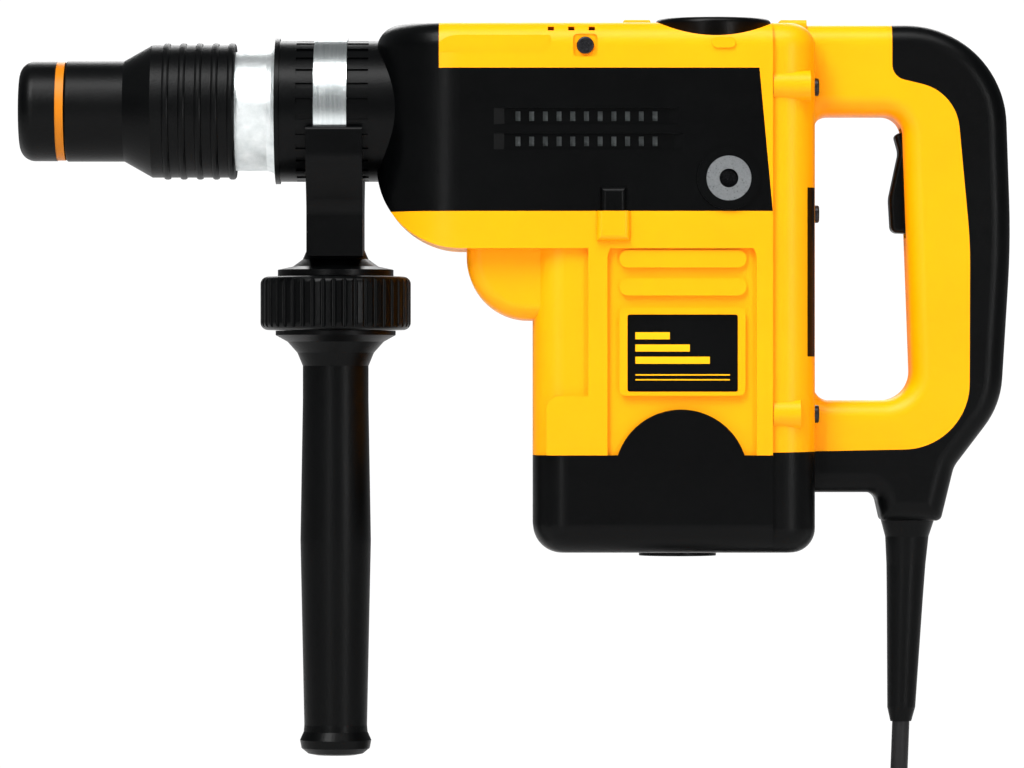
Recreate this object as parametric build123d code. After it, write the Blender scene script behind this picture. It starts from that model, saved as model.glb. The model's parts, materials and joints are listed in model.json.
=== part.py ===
"""Electric demolition hammer: L-shaped motor under a crank-driven hammer mechanism, keyed tool socket,
closed rear handle, clamp-on side handle and a mains lead.

Frame, in millimetres: the origin is the mouth of the tool socket, on the spindle axis. The tool leaves
the socket towards -X, the rear handle is at +X, +Z is up and the motor hangs below at -Z.
"""

import os
from math import acos, atan2, cos, degrees, pi, radians, sin, tan

from build123d import *

# ---------------------------------------------------------------- driving dimensions
RUN = 0.05  # radial running clearance of a shaft in its bore
SLIP = 0.3  # clearance between bodies that move past each other
WALL = 3.0  # wall of the moulded shells

# tool socket and spindle, all turned on the X axis
SHANK_R = 9.0  # tool shank that the socket takes
SOCKET_R = SHANK_R + RUN
GUIDE_LEN = 30.0  # plain guide at the mouth
SOCKET_LEN = 66.0
RELIEF_R = SHANK_R + 0.4  # bore behind the guide, where only the keys bear on the tool
KEY_HALF = 1.6
LOCK_START = GUIDE_LEN + 2
LOCK_LEN = 10.0
LOCK_HALF = 3.2
LOCK_DEPTH = 1.2  # how far the locking segments stand into the bore
SPINDLE_R = 15.0
BOLT_R = 11.0  # impact bolt
CYLINDER_R = 17.0  # bore that the piston and the striker share
CYLINDER_WALL = 3.5
CYLINDER_START = 113.0
CYLINDER_END = 200.0
STEP_X = 92.0  # where the spindle widens to the cylinder
CAP_FRONT = -5.0
CAP_END = 12.0
CAP_R = 22.7
CAP_LIP_R = 9.8
RING_END = 15.8
SLEEVE_START = 16.1
SLEEVE_NECK_R = 22.9
SLEEVE_R = 30.2
SLEEVE_END = 93.7
SLEEVE_TRAVEL = 10.0
RIB_PITCH = 7.4
RIB_COUNT = 5
RIB_HEIGHT = 0.9
SPRING_SEAT_X = 84.0
KEY_COUNT = 3  # drive keys inside the socket

# barrel and clamp collar
BARREL_FRONT = 90.0
BARREL_R = 27.1
BARREL_BORE = 24.0
COLLAR_START = 111.75
COLLAR_END = 168.0
COLLAR_R = 32.1
COLLAR_BORE = 29.5
COLLAR_GROOVES = 28

# gear train: teeth, module and shaft places along X
MODULE = 1.25
MOTOR_TEETH = 12
CRANK_TEETH = 44
LAY_TEETH = 28
BEVEL_TEETH = 12
RING_TEETH = 30
MOTOR_X = 295.0
CRANK_X = MOTOR_X - MODULE * (MOTOR_TEETH + CRANK_TEETH) / 2
LAY_X = CRANK_X - MODULE * (CRANK_TEETH + LAY_TEETH) / 2
GEAR_TOP = -50.0
GEAR_FACE = 8.0
RING_PITCH_R = 26.0
BEVEL_PITCH_R = RING_PITCH_R * BEVEL_TEETH / RING_TEETH
BEVEL_LAND = 0.70  # the small end of the bevel teeth, as a share of the large end
BEVEL_ADDENDUM = 0.9
BEVEL_DEDENDUM = 1.3
BEVEL_THIN = 0.62

# hammer mechanism
THROW = 13.0
ROD_LEN = 62.0
PIN_X = CRANK_X - THROW - ROD_LEN
PISTON_FRONT = PIN_X - 23.0
PISTON_REAR = PIN_X + 10.0
ROD_HALF = 7.0
STRIKER_FRONT = 123.5
STRIKER_LEN = 28.0
BOLT_FRONT = 69.0
BOLT_LEN = 49.0

# casings
PLAN_R = 38.0  # round of the cowl's front seen from above
RIM_R = 11.0  # round of its upper edge
SADDLE_DEPTH = 6.2
CASE_TOP = 33.0
CASE_TOP_REAR = 27.0
LUG_END = 353.3
REAR_SLANT = 6.0
COVER_SCREW = (252.5, 28.0)
TOP_SLOTS = 3  # small slots high on each side of the top cover
TOP_SLOT_X = 237.0
TOP_SLOT_PITCH = 9.2
CASE_REAR_X = 283.5
BOSS_X = 265.1
LUG_HALF = 16.0
LUG_Z = 29.0
VENT_ROWS = (-3.95, -15.25)
VENT_HALF = 3.65
VENT_START = 209.0
VENT_END = 299.0
VENT_LEAN = 2.0  # the upper row ends this much sooner
VENT_DEPTH = 2.0
VENT_RAMP = 7.0
VENT_SLOTS = 11
VENT_SLOT = 2.2
VENT_PITCH = (VENT_END - VENT_LEAN - VENT_START - 2 * VENT_RAMP) / (VENT_SLOTS + 1)
SCREW_R = 2.0
BEARING_OUT = 29.0
MOTOR_BEARING_R = 13.0
MOTOR_SHAFT_R = 5.0
DIAL_STEM_R = 5.0
NOSE_X = 158.0
TOP_Z = 38.7
SPLIT_X = 336.8  # where the rear handle bolts on
GEAR_HALF = 46.0
CASE_GAP = 2.0  # air between the case and the shells round it
CASE_HALF = GEAR_HALF - WALL - CASE_GAP
POCKET_Y = GEAR_HALF - 2
CHIN_Z = -63.3
CHIN_R = 38.3
COVER_TOP = 17.9  # edge of the black cover under the top cover
COVER_BOTTOM = -46.6
CAP_START_X = 186.6
PANEL_PROUD = 3.0  # raised frame on the motor housing, level with the cowl
MOTOR_HALF = GEAR_HALF - PANEL_PROUD
BELLY_X = 199.0
BELLY_Z = -95.3
BELLY_HALF = 38.0
MOTOR_FRONT = 229.0
BASE_TOP = -156.5
BASE_Z = -200.6
BASE_HALF = MOTOR_HALF + PANEL_PROUD
EAR_R = 30.0
EAR_X = 295.6
EAR_Z = -165.9

# rear handle
COLUMN_REAR = 356.5
COLUMN_HALF = MOTOR_HALF
HANDLE_SCREW_Y = 25.0
HANDLE_SCREW_Z = (10.0, -47.5, -138.0)
SCREW_COLUMNS = ((10.0, 354.0), (-138.0, 349.5))  # heights and ends of the round columns on the sides
SCREW_COLUMN_R = 6.9
SCREW_COLUMN_Y = COLUMN_HALF - 4.4
GRIP_REAR = 445.6
GRIP_HALF = 19.5
GRIP_FRONT_X = 401.5
OPENING_TOP = -2.4
OPENING_BOTTOM = -131.8
TAPER_END_X = 392.0
ARM_BOTTOM = -173.6
GLAND_X = 400.0
GLAND_Z = -186.6
GLAND_R = 12.1
TRIGGER_HALF = 8.0
TRIGGER_X = 404.5
TRIGGER_Z = -13.5

# motor
ARMATURE_R = 25.0
STATOR_R = 38.0
STACK_TOP = -92.0
STACK_LEN = 50.0
COMMUTATOR_R = 13.0
COMMUTATOR_TOP = -150.0
COMMUTATOR_LEN = 18.0

# side handle, on a Z axis under the collar
SIDE_X = 139.0
STRAP_START = 129.6
STRAP_WIDTH = 15.0
STRAP_THICK = 1.2
STRAP_END_Z = -8.0
SADDLE_WALL = 3.2  # bracket outside the strap
NECK_LEN_X = 25.5
NECK_HALF_Y = 21.5
FLARE_TOP = -62.3
BRACKET_BOTTOM = -75.1
BRACKET_R = 26.4
WHEEL_R = 34.3
WHEEL_BOTTOM = -99.8
WHEEL_FLUTES = 44
GRIP_TOP = WHEEL_BOTTOM - SLIP
GRIP_BOTTOM = -293.7
SPIGOT_R = 7.0
STUD_R = 4.0

# selector on the top cover
DIAL_X = 311.3
DIAL_R = 26.4
DIAL_FLOOR = 33.0
DIAL_TOP = 42.3

# rear inserts for the side handle's second place, one each side
INSERT_X = 317.0
INSERT_Z = -31.8
INSERT_R = 10.1
INSERT_BOSS_R = 14.2
INSERT_HOLE_R = 4.25
INSERT_LEN = 18.0

# mains lead
CORD_R = 4.0
BOOT_TIP = (397.0, 0.0, -278.2)
BOOT_TOP = (400.0, 0.0, GLAND_Z)
COIL_R = 44.0
COIL_HALF_WIDTH = 8.0
COIL_HEIGHT = 40.0
COIL_CENTRE = (347.0, 68.0)
FLOOR_Z = -350.9
PLUG_BOOT = 22.0
PLUG_LEN = 36.0
PLUG_WIDTH = 34.0
PLUG_HALF = 12.0


# ---------------------------------------------------------------- shape helpers
def side_plane(y):
    """Plane whose local x is X and local y is Z, at that Y. Extruding goes towards -Y."""
    return Plane(origin=(0, y, 0), x_dir=(1, 0, 0), z_dir=(0, -1, 0))


def rounded(corners):
    """Closed face from (x, y, radius) corners; a radius of 0 is a sharp corner."""
    edges = []
    starts = []
    ends = []
    n = len(corners)
    for i, (x, y, r) in enumerate(corners):
        here = Vector(x, y)
        before = Vector(*corners[i - 1][:2])
        after = Vector(*corners[(i + 1) % n][:2])
        back = (before - here).normalized()
        ahead = (after - here).normalized()
        if r == 0:
            starts.append(here)
            ends.append(here)
            continue
        half = radians(back.get_angle(ahead)) / 2
        cut = r / tan(half)
        middle = (back + ahead).normalized()
        first = here + back * cut
        last = here + ahead * cut
        edges.append(ThreePointArc(first, here + middle * (r / sin(half) - r), last))
        starts.append(first)
        ends.append(last)
    for i in range(n):
        a = ends[i]
        b = starts[(i + 1) % n]
        if (b - a).length > 1e-6:
            edges.append(Line(a, b))
    return make_face(edges)


def slab(corners, half, y0=None):
    """Side outline with a half width in Y, or from y0 to half."""
    low = -half if y0 is None else y0
    return extrude(side_plane(half) * rounded(corners), amount=half - low)


def box(x0, x1, y0, y1, z0, z1):
    """Box from its limits."""
    place = Pos((x0 + x1) / 2, (y0 + y1) / 2, (z0 + z1) / 2)
    return place * Box(x1 - x0, y1 - y0, z1 - z0)


def rod_x(r, x0, x1, y=0, z=0):
    """Solid cylinder along X."""
    return Pos((x0 + x1) / 2, y, z) * Rot(0, 90, 0) * Cylinder(r, x1 - x0)


def rod_y(r, y0, y1, x=0, z=0):
    """Solid cylinder along Y."""
    return Pos(x, (y0 + y1) / 2, z) * Rot(90, 0, 0) * Cylinder(r, y1 - y0)


def rod_z(r, z0, z1, x=0, y=0):
    """Solid cylinder along Z."""
    return Pos(x, y, (z0 + z1) / 2) * Cylinder(r, z1 - z0)


def turned_x(profile):
    """Ring turned on the X axis from a closed (x, radius) outline."""
    face = make_face(Polyline(*[(x, r) for x, r in profile], close=True))
    return revolve(face, Axis.X)


def turned_z(profile, x):
    """Ring turned on the Z axis at that X, from a closed (radius, z) outline."""
    plane = Plane(origin=(x, 0, 0), x_dir=(1, 0, 0), z_dir=(0, -1, 0))
    face = plane * make_face(Polyline(*profile, close=True))
    return revolve(face, Axis((x, 0, 0), (0, 0, 1)))


def gear_points(teeth, pitch_r, addendum, dedendum, phase, thin=0.84):
    """Outline of a gear with one straight run on each flank; a tooth is centred on the phase angle."""
    base = pitch_r * cos(radians(25))
    lean = tan(radians(25)) - radians(25)
    points = []
    for k in range(teeth):
        centre = phase + 2 * pi * k / teeth
        flank = []
        for radius in (pitch_r - dedendum, pitch_r, pitch_r + addendum):
            unwound = acos(min(1.0, base / radius))
            half = pi / 2 / teeth * thin + lean - (tan(unwound) - unwound)
            half = min(half, pi / teeth * 0.72)
            flank.append((radius, half))
        for radius, half in flank:
            points.append((radius * cos(centre - half), radius * sin(centre - half)))
        for radius, half in reversed(flank):
            points.append((radius * cos(centre + half), radius * sin(centre + half)))
    return points


def spur_gear(teeth, x, phase):
    """Spur gear on a Z axis, in the gear plane."""
    points = gear_points(teeth, MODULE * teeth / 2, 0.9 * MODULE, 1.25 * MODULE, phase)
    face = make_face(Polyline(*points, close=True))
    return extrude(Pos(x, 0, GEAR_TOP - GEAR_FACE) * face, amount=GEAR_FACE)


def bevel_gear(teeth, pitch_r, reach, phase):
    """Bevel gear on local +Z: teeth and root cone shrink towards the point where the two axes cross."""
    cone = atan2(pitch_r, reach)
    root = pitch_r - BEVEL_DEDENDUM / cos(cone)
    tip = pitch_r + BEVEL_ADDENDUM / cos(cone)
    height = reach * (1 - BEVEL_LAND)
    gear = Pos(0, 0, height / 2) * Cone(root, root * BEVEL_LAND, height)
    corners = []
    for radius in (root * 0.94, tip):
        half = pi * pitch_r / 2 / teeth * BEVEL_THIN - (radius - pitch_r) * tan(radians(20)) * cos(cone)
        corners.append((radius, half))
    (r0, h0), (r1, h1) = corners
    large = make_face(Polyline((r0, -h0), (r1, -h1), (r1, h1), (r0, h0), close=True))
    tooth = loft([large, Pos(0, 0, height) * scale(large, BEVEL_LAND)], ruled=True)
    for k in range(teeth):
        gear += Rot(0, 0, degrees(phase) + 360 / teeth * k) * tooth
    return gear


def screw(r_head, head, r_shank, length):
    """Pan-head screw along +Z with its head's underside at z = 0 and its shank below."""
    blank = Pos(0, 0, head / 2) * Cylinder(r_head, head)
    dome = fillet(blank.edges().group_by(Axis.Z)[-1], head * 0.45)
    socket = Pos(0, 0, head) * Cylinder(r_head * 0.42, head)
    return dome - socket + Pos(0, 0, -length / 2) * Cylinder(r_shank, length)


def placed(shape, at, towards):
    """Shape whose +Z is turned to a direction and moved to a point."""
    return Plane(origin=at, z_dir=towards) * shape


def save(shapes):
    """Writes one STEP file for each named node."""
    os.makedirs("parts", exist_ok=True)
    for name, shape in shapes.items():
        solids = shape if isinstance(shape, list) else shape.solids()
        export_step(Compound(children=list(solids)), f"parts/{name}.step")


# ---------------------------------------------------------------- tool socket and spindle
def spindle():
    """Socket tube, spring flange and hammer cylinder in one turned steel piece, with drive keys."""
    outer = CYLINDER_R + CYLINDER_WALL
    body = turned_x(
        [
            (0, SOCKET_R), (0, SPINDLE_R), (SPRING_SEAT_X, SPINDLE_R), (SPRING_SEAT_X, 23),
            (SPRING_SEAT_X + 3, 23), (SPRING_SEAT_X + 3, SPINDLE_R + 3), (STEP_X, SPINDLE_R + 3),
            (STEP_X, outer), (CYLINDER_END, outer), (CYLINDER_END, CYLINDER_R),
            (CYLINDER_START, CYLINDER_R), (CYLINDER_START, BOLT_R + RUN),
            (SOCKET_LEN, BOLT_R + RUN), (SOCKET_LEN, RELIEF_R), (GUIDE_LEN, RELIEF_R),
            (GUIDE_LEN, SOCKET_R),
        ]
    )
    for k in range(KEY_COUNT):
        key = box(LOCK_START + LOCK_LEN + 3, SOCKET_LEN - 2, -KEY_HALF, KEY_HALF, SHANK_R - 1.5, RELIEF_R + 1)
        body += Rot(360 / KEY_COUNT * k, 0, 0) * key
    for side in (-1, 1):
        body -= lock_window(side)
    return body


def lock_window(side):
    """Opening in the spindle's wall for one locking segment."""
    y0, y1 = sorted((side * SHANK_R * 0.6, side * (SPINDLE_R + 5)))
    return box(LOCK_START, LOCK_START + LOCK_LEN, y0, y1, -LOCK_HALF, LOCK_HALF)


def locking_segments():
    """Two hardened blocks in the spindle's windows that hold the tool's grooves."""
    blocks = []
    for side in (-1, 1):
        blocks.append((lock_window(side) & rod_x(SPINDLE_R, 0, 60)) - rod_x(SHANK_R - LOCK_DEPTH, 0, 60))
    return [b.solids()[0] for b in blocks]


def nose_cap():
    """Rubber dust cap with a lip round the socket's mouth."""
    blank = turned_x(
        [(CAP_FRONT, CAP_LIP_R), (CAP_FRONT, CAP_R), (CAP_END, CAP_R), (CAP_END, SPINDLE_R),
         (0, SPINDLE_R), (0, CAP_LIP_R)]
    )
    front = blank.faces().sort_by(Axis.X)[0].edges().sort_by(SortBy.LENGTH)[-1]
    return fillet(front, 7.0)


def marker_ring():
    """Coloured ring between the dust cap and the sleeve."""
    return turned_x(
        [(CAP_END, SPINDLE_R), (CAP_END, CAP_R - 0.3), (RING_END, CAP_R - 0.3), (RING_END, SPINDLE_R)]
    )


def lock_sleeve():
    """Ribbed sleeve that slides back to free the tool."""
    rear = SLEEVE_END
    body = turned_x(
        [
            (SLEEVE_START, SPINDLE_R + 0.2), (SLEEVE_START, SLEEVE_NECK_R - 0.8),
            (SLEEVE_START + 0.8, SLEEVE_NECK_R), (42.65, SLEEVE_NECK_R), (55.5, SLEEVE_R),
            (rear, SLEEVE_R), (rear, BARREL_R + 0.7), (BARREL_FRONT - SLEEVE_TRAVEL - 2, BARREL_R + 0.7),
            (BARREL_FRONT - SLEEVE_TRAVEL - 2, 24), (49, 24), (47, 21.5), (47, SPINDLE_R + 0.2),
        ]
    )
    for k in range(RIB_COUNT):
        x = rear - RIB_PITCH * k
        body += turned_x(
            [(x - 3.4, SLEEVE_R - 0.2), (x - 3.0, SLEEVE_R + 0.6), (x - 2.3, SLEEVE_R + RIB_HEIGHT),
             (x - 1.1, SLEEVE_R + RIB_HEIGHT), (x - 0.4, SLEEVE_R + 0.6), (x, SLEEVE_R - 0.2)]
        )
    return body


def sleeve_spring():
    """Coil spring behind the sleeve, as its closed envelope."""
    return turned_x([(47, 17), (47, 21), (SPRING_SEAT_X, 21), (SPRING_SEAT_X, 17)])


def front_barrel():
    """Cast nose that carries the spindle's front bearing and the clamp collar."""
    return turned_x(
        [
            (BARREL_FRONT, BARREL_BORE), (BARREL_FRONT, BARREL_R), (108, BARREL_R),
            (110.2, 27.9), (COLLAR_START, 28.8), (COLLAR_START, COLLAR_BORE),
            (COLLAR_END, COLLAR_BORE), (COLLAR_END, BARREL_BORE),
        ]
    )


def collar():
    """Moulded collar that the side handle clamps on, with lengthwise grooves against slipping."""
    body = turned_x(
        [
            (COLLAR_START, COLLAR_BORE), (COLLAR_START, COLLAR_R + 1.1), (113.8, COLLAR_R + 1.1),
            (113.8, COLLAR_R), (COLLAR_END, COLLAR_R), (COLLAR_END, COLLAR_BORE),
        ]
    )
    groove = box(121.5, 154.3, -1.3, 1.3, COLLAR_R - 0.9, COLLAR_R + 1)
    for k in range(COLLAR_GROOVES):
        body -= Rot(360 / COLLAR_GROOVES * (k + 0.5), 0, 0) * groove
    return body


def spindle_bearings():
    """Front needle sleeve in the barrel and rear bearing in the gear case."""
    inner = CYLINDER_R + CYLINDER_WALL + RUN
    front = turned_x([(114, inner), (114, BARREL_BORE), (128, BARREL_BORE), (128, inner)])
    rear = turned_x([(174, inner), (174, 29), (186, 29), (186, inner)])
    return [front.solids()[0], rear.solids()[0]]


def oil_seal():
    """Lip seal at the barrel's front."""
    inner = CYLINDER_R + CYLINDER_WALL + RUN
    return turned_x([(95, inner), (95, BARREL_BORE), (101, BARREL_BORE), (101, inner)])


def ring_gear():
    """Bevel ring on the cylinder's rear end."""
    inner = CYLINDER_R + CYLINDER_WALL
    back = LAY_X - BEVEL_PITCH_R
    gear = bevel_gear(RING_TEETH, RING_PITCH_R, BEVEL_PITCH_R, pi / RING_TEETH)
    teeth = Pos(back, 0, 0) * Rot(0, 90, 0) * gear
    step = back - 2.2
    blank = turned_x(
        [(190, inner), (190, 28), (step, 28), (step, 21), (back, 21), (back, 18.5), (CYLINDER_END, 18.5),
         (CYLINDER_END, inner)]
    )
    return blank + (teeth - rod_x(18.5, back - 1, back + 20))


# ---------------------------------------------------------------- hammer mechanism
def impact_bolt():
    """Bolt that passes the striker's blow to the tool."""
    end = BOLT_FRONT + BOLT_LEN
    return turned_x(
        [(BOLT_FRONT, 0), (BOLT_FRONT, 7.5), (BOLT_FRONT + 6, BOLT_R), (end - 2, BOLT_R), (end, 9), (end, 0)]
    )


def striker():
    """Free striker driven by the air in front of the piston, with a seal groove."""
    r = CYLINDER_R - RUN
    x = STRIKER_FRONT
    return turned_x(
        [(x, 0), (x, 9), (x + 3, 12), (x + 8, r), (x + 20, r), (x + 20, r - 2), (x + 23, r - 2),
         (x + 23, r), (x + STRIKER_LEN, r), (x + STRIKER_LEN, 0)]
    )


def piston():
    """Piston with an open skirt and a cross bore for its pin."""
    r = CYLINDER_R - RUN
    body = turned_x(
        [(PISTON_FRONT, 0), (PISTON_FRONT, r), (PISTON_FRONT + 4, r), (PISTON_FRONT + 4, r - 2),
         (PISTON_FRONT + 7, r - 2), (PISTON_FRONT + 7, r), (PISTON_REAR, r), (PISTON_REAR, 13),
         (PISTON_FRONT + 10, 13), (PISTON_FRONT + 10, 0)]
    )
    return body - rod_z(4, -20, 20, x=PIN_X)


def wrist_pin():
    """Pin across the piston."""
    return rod_z(4, -15.5, 15.5, x=PIN_X)


def connecting_rod():
    """Rod from the wrist pin to the crank pin, with an eye at each end."""
    rod = box(PIN_X, PIN_X + ROD_LEN, -4, 4, -5, 5)
    rod += rod_z(7.5, -ROD_HALF, ROD_HALF, x=PIN_X)
    rod += rod_z(10, -ROD_HALF, ROD_HALF, x=PIN_X + ROD_LEN)
    return rod - rod_z(4 + RUN, -20, 20, x=PIN_X) - rod_z(4.5, -20, 20, x=PIN_X + ROD_LEN)


def crankshaft():
    """Crank disc, pin and journal; the pin stops just under the rod's eye."""
    shaft = rod_z(7, -70, -36, x=CRANK_X)
    disc = rod_z(20, -36, -28, x=CRANK_X)
    weight = disc & box(CRANK_X - 4, CRANK_X + 25, -25, 25, -40, -20)
    pin = rod_z(4, -29, -ROD_HALF - 0.5, x=CRANK_X - THROW)
    return shaft + disc + Pos(0, 0, 3) * weight + pin


def crank_gear():
    """Large gear on the crankshaft."""
    return spur_gear(CRANK_TEETH, CRANK_X, pi / CRANK_TEETH) - rod_z(7, -80, 0, x=CRANK_X)


def lay_gear():
    """Gear on the bevel pinion's shaft."""
    return spur_gear(LAY_TEETH, LAY_X, 0) - rod_z(6, -80, 0, x=LAY_X)


def bevel_pinion():
    """Vertical shaft with a bevel pinion that turns the spindle."""
    gear = bevel_gear(BEVEL_TEETH, BEVEL_PITCH_R, RING_PITCH_R, 0)
    teeth = Pos(LAY_X, 0, -RING_PITCH_R) * gear
    hub = rod_z(8, -RING_PITCH_R - 5, -RING_PITCH_R, x=LAY_X)
    return teeth + hub + rod_z(6, -70, -RING_PITCH_R - 4, x=LAY_X)


def shaft_bearings():
    """Ball bearings of the crankshaft, the pinion shaft and the armature, each as one ring."""
    rings = []
    for x, r, out in gear_shafts():
        for top in (-40, -61):
            rings.append((x, r, out, top, 7))
    for top in (-62, -176):
        rings.append((MOTOR_X, MOTOR_SHAFT_R, MOTOR_BEARING_R, top, 8))
    made = []
    for x, r, out, top, depth in rings:
        ring = rod_z(out, top - depth, top, x=x) - rod_z(r + RUN, top - depth - 1, top + 1, x=x)
        made.append(ring.solids()[0])
    return made


# ---------------------------------------------------------------- motor
def armature_shaft():
    """Motor shaft with the pinion cut on its upper end."""
    pinion = spur_gear(MOTOR_TEETH, MOTOR_X, 0)
    return pinion + rod_z(MOTOR_SHAFT_R, -187, GEAR_TOP - GEAR_FACE, x=MOTOR_X)


def armature_core():
    """Laminated core with its windings proud at both ends."""
    core = rod_z(ARMATURE_R, STACK_TOP - STACK_LEN, STACK_TOP, x=MOTOR_X)
    for k in range(12):
        angle = 2 * pi * k / 12
        at = (MOTOR_X + ARMATURE_R * cos(angle), ARMATURE_R * sin(angle))
        core -= rod_z(1.6, STACK_TOP - STACK_LEN, STACK_TOP, *at)
    ends = rod_z(20, STACK_TOP, STACK_TOP + 6, x=MOTOR_X)
    ends += rod_z(20, STACK_TOP - STACK_LEN - 6, STACK_TOP - STACK_LEN, x=MOTOR_X)
    return core + ends - rod_z(MOTOR_SHAFT_R, -200, -60, x=MOTOR_X)


def commutator():
    """Copper segments round the shaft."""
    bottom = COMMUTATOR_TOP - COMMUTATOR_LEN
    body = rod_z(COMMUTATOR_R, bottom, COMMUTATOR_TOP, x=MOTOR_X)
    slot = box(MOTOR_X + 9, MOTOR_X + 20, -0.3, 0.3, bottom - 1, COMMUTATOR_TOP - 3)
    for k in range(16):
        body -= Pos(MOTOR_X, 0, 0) * Rot(0, 0, 360 / 16 * (k + 0.5)) * Pos(-MOTOR_X, 0, 0) * slot
    return body - rod_z(MOTOR_SHAFT_R, -200, -60, x=MOTOR_X)


def cooling_fan():
    """Radial fan above the core."""
    fan = rod_z(31, -78.5, -77, x=MOTOR_X) + rod_z(10, -84.5, -77, x=MOTOR_X)
    blade = box(MOTOR_X + 9, MOTOR_X + 30, -0.8, 0.8, -84.5, -77)
    for k in range(14):
        fan += Pos(MOTOR_X, 0, 0) * Rot(0, 0, 360 / 14 * k) * Pos(-MOTOR_X, 0, 0) * blade
    return fan - rod_z(MOTOR_SHAFT_R, -200, -60, x=MOTOR_X)


def stator_core():
    """Laminated field ring with flats at the sides."""
    bottom = STACK_TOP - STACK_LEN
    ring = rod_z(STATOR_R, bottom, STACK_TOP, x=MOTOR_X) & box(250, 340, -37.5, 37.5, bottom, STACK_TOP)
    return ring - rod_z(ARMATURE_R + 0.6, bottom - 1, STACK_TOP + 1, x=MOTOR_X)


def field_coils():
    """The two field windings where they show above and below the core."""
    coils = []
    for z0, z1 in ((STACK_TOP, STACK_TOP + 6), (STACK_TOP - STACK_LEN - 6, STACK_TOP - STACK_LEN)):
        ring = rod_z(35, z0, z1, x=MOTOR_X) - rod_z(ARMATURE_R + 1.5, z0 - 1, z1 + 1, x=MOTOR_X)
        for side in (-1, 1):
            half = ring & box(MOTOR_X - 30, MOTOR_X + 30, side * 23 - 15, side * 23 + 15, z0, z1)
            coils.append(half.solids()[0])
    return coils


def brush_parts(side):
    """One side's holder, brush and spring."""
    z0, z1 = -163.5, -154.5
    outer = box(MOTOR_X - 6, MOTOR_X + 6, 17, 39, z0 - 2, z1 + 2)
    channel = box(MOTOR_X - 3.7, MOTOR_X + 3.7, 10, 37.5, z0 - 0.2, z1 + 0.2)
    brush = box(MOTOR_X - 3.5, MOTOR_X + 3.5, COMMUTATOR_R + 0.15, 30, z0, z1)
    spring = rod_y(2.8, 30, 37.5, x=MOTOR_X, z=(z0 + z1) / 2)
    turn = Pos(MOTOR_X, 0, 0) * Rot(0, 0, 180 if side < 0 else 0) * Pos(-MOTOR_X, 0, 0)
    return turn * (outer - channel), turn * brush, turn * spring


# ---------------------------------------------------------------- casings
def upper_block(d=0.0):
    """Outside of the gear housing as one solid, or the same shape taken in by d."""
    block = box(NOSE_X + d, SPLIT_X - d, d - GEAR_HALF, GEAR_HALF - d, CHIN_Z + d, TOP_Z - d)
    block = fillet(block.edges().filter_by(Axis.Z).group_by(Axis.X)[0], PLAN_R - d)
    top = block.faces().sort_by(Axis.Z)[-1].edges()
    rear = top.filter_by(Axis.Y).sort_by(Axis.X)[-1]
    block = fillet([e for e in top if not e.is_same(rear)], RIM_R - d)
    low = CHIN_Z + d
    chin = [(NOSE_X + d, 99, 0), (SPLIT_X, 99, 0), (SPLIT_X, low, 0), (NOSE_X + d, low, CHIN_R - d)]
    return block & slab(chin, 99)


def saddle_cut():
    """Hollow across the top cover that shows the selector's side."""
    radius = (DIAL_R ** 2 + SADDLE_DEPTH ** 2) / 2 / SADDLE_DEPTH
    return rod_y(radius, -60, 60, DIAL_X, TOP_Z - SADDLE_DEPTH + radius)


def cover_zone():
    """Region of the black cowl."""
    return slab(
        [
            (NOSE_X - 5, 60, 0), (CAP_START_X, 60, 0), (CAP_START_X, COVER_TOP, 0),
            (SPLIT_X - REAR_SLANT, COVER_TOP, 0), (SPLIT_X, COVER_BOTTOM, 0),
            (NOSE_X - 5, COVER_BOTTOM, 0),
        ],
        60,
    )


def top_zone():
    """Region of the top cover."""
    return box(CAP_START_X, SPLIT_X, -60, 60, COVER_TOP, 60)


def rear_zone():
    """Wedge behind the cowl's slanted rear edge, which the motor housing fills."""
    corners = [(SPLIT_X - REAR_SLANT, COVER_TOP, 0), (SPLIT_X, COVER_TOP, 0), (SPLIT_X, COVER_BOTTOM, 0)]
    return slab(corners, 60)


def both_sides(y0, y1):
    """The two ranges in Y that mirror each other."""
    return [(y0, y1), (-y1, -y0)]


def gearcase_cover():
    """Black cowl round the gear case, with two rows of cooling slots on each side."""
    shell = (upper_block() - upper_block(WALL)) & cover_zone()
    shell -= rod_x(COLLAR_R, NOSE_X - 10, NOSE_X + 20)
    for z in VENT_ROWS:
        for side in (-1, 1):
            shell -= vent_recess(side, z)
        for k in range(VENT_SLOTS):
            x = VENT_START + VENT_RAMP + VENT_PITCH * (k + 1)
            half = VENT_HALF - 1.5
            for y0, y1 in both_sides(GEAR_HALF - WALL - 1, GEAR_HALF):
                shell -= box(x - VENT_SLOT / 2, x + VENT_SLOT / 2, y0, y1, z - half, z + half)
    for y0, y1 in both_sides(GEAR_HALF - 0.5, GEAR_HALF + 1.2):
        shell += rod_y(INSERT_BOSS_R, y0, y1, INSERT_X, INSERT_Z)
    for side in (-1, 1):
        shell += boss_column(side, COVER_BOTTOM, -35.8, 11.9, 0)
    for y0, y1 in both_sides(30, 60):
        shell -= rod_y(INSERT_R, y0, y1, INSERT_X, INSERT_Z)
    return shell


def vent_recess(side, z):
    """Shallow recess of one vent row, with a ramp at each end."""
    y_out = side * (GEAR_HALF + 1)
    y_in = side * (GEAR_HALF - VENT_DEPTH)
    lean = VENT_LEAN if z > sum(VENT_ROWS) / len(VENT_ROWS) else 0
    end = VENT_END - lean
    outline = [(VENT_START, y_out), (end, y_out), (end - VENT_RAMP, y_in), (VENT_START + VENT_RAMP, y_in)]
    face = make_face(Polyline(*outline, close=True))
    return Pos(0, 0, z - VENT_HALF) * extrude(face, amount=2 * VENT_HALF, dir=(0, 0, 1))


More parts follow.
